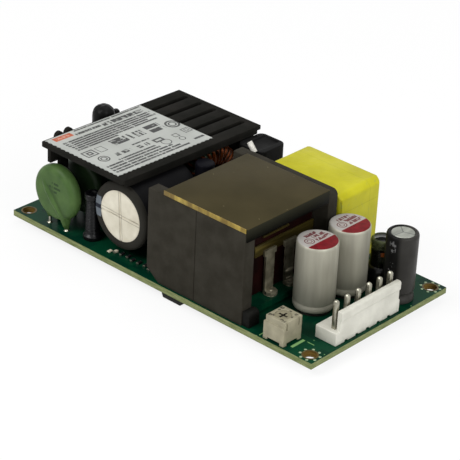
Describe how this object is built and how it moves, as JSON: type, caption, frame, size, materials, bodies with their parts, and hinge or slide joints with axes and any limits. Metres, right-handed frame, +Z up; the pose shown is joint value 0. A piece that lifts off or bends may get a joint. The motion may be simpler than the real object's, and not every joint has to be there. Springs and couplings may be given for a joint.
{
  "type": "open frame power supply",
  "caption": "Open frame switching power supply on a small green board: slotted black cover, large transformer, yellow taped choke, silver capacitors, white output header and a trimmer.",
  "frame": {"origin": "centre of the board's outline, at the height of the lowest packages under the board", "axes": "+X along the board towards the output header, +Y across it towards the taped choke, +Z up from the solder side"},
  "size_m": [0.1016, 0.0508, 0.0296],
  "materials": {
    "board": "satin",
    "tin": "satin",
    "gold_plate": "satin",
    "chip": "matte",
    "green_dip": "matte",
    "black_plastic": "satin",
    "dark_sleeve": "satin",
    "vent_cream": "matte",
    "label_pale": "satin",
    "ferrite": "matte",
    "winding_red": "satin",
    "olive_sheet": "satin",
    "yellow_tape": "satin",
    "can": "satin",
    "rubber_seal": "matte",
    "clear_sleeve": "gloss",
    "header_cream": "satin",
    "trimmer_beige": "matte",
    "teal_case": "satin",
    "copper": "satin",
    "white_sleeve": "matte"
  },
  "bodies": {
    "supply": {"circuit_board": "board", "mounting_pads": "tin", "solder_joints": "tin", "chip_parts_top": "tin", "chip_parts_under": "chip", "controller_chip": "chip", "front_diode": "chip", "output_diode": "chip", "input_diode": "chip", "rear_diode": "chip", "disc_varistor": "green_dip", "varistor_leads": "tin", "disc_capacitor": "green_dip", "disc_capacitor_leads": "tin", "rod_choke": "black_plastic", "bulk_capacitor": "dark_sleeve", "bulk_capacitor_vent": "vent_cream", "bulk_capacitor_leads": "tin", "cover": "black_plastic", "cover_label": "label_pale", "core_front": "ferrite", "core_rear": "ferrite", "bobbin": "black_plastic", "terminal_board": "board", "winding": "winding_red", "top_plate": "olive_sheet", "plate_edge_strip": "gold_plate", "foil_terminal": "gold_plate", "terminal_legs": "tin", "taped_choke": "yellow_tape", "taped_choke_base": "black_plastic", "output_can_near": "can", "output_can_far": "can", "can_seal_near": "rubber_seal", "can_seal_far": "rubber_seal", "output_electrolytic": "dark_sleeve", "electrolytic_top": "can", "filter_choke": "black_plastic", "filter_choke_sleeve": "clear_sleeve", "output_header": "header_cream", "output_pins": "tin", "input_header": "header_cream", "input_pins": "tin", "trimmer_housing": "trimmer_beige", "sleeved_fuse": "black_plastic", "fuse_lead": "black_plastic", "mains_capacitor": "teal_case", "boost_choke_core": "ferrite", "boost_choke_turns": "copper", "common_choke_core": "ferrite", "common_choke_turns": "copper", "bridge_rectifier": "black_plastic", "standby_capacitor": "dark_sleeve", "rear_choke_case": "black_plastic", "case_lead": "tin", "lead_sleeve": "white_sleeve"},
    "rotor": {"trimmer_rotor": "trimmer_beige"}
  },
  "joints": [
    {"name": "trimmer_turn", "type": "hinge", "parent": "supply", "child": "rotor", "pos_m": [0.0386, -0.02185, 0.0086], "axis": [0, 0, 1], "range_deg": [-130, 130]}
  ]
}
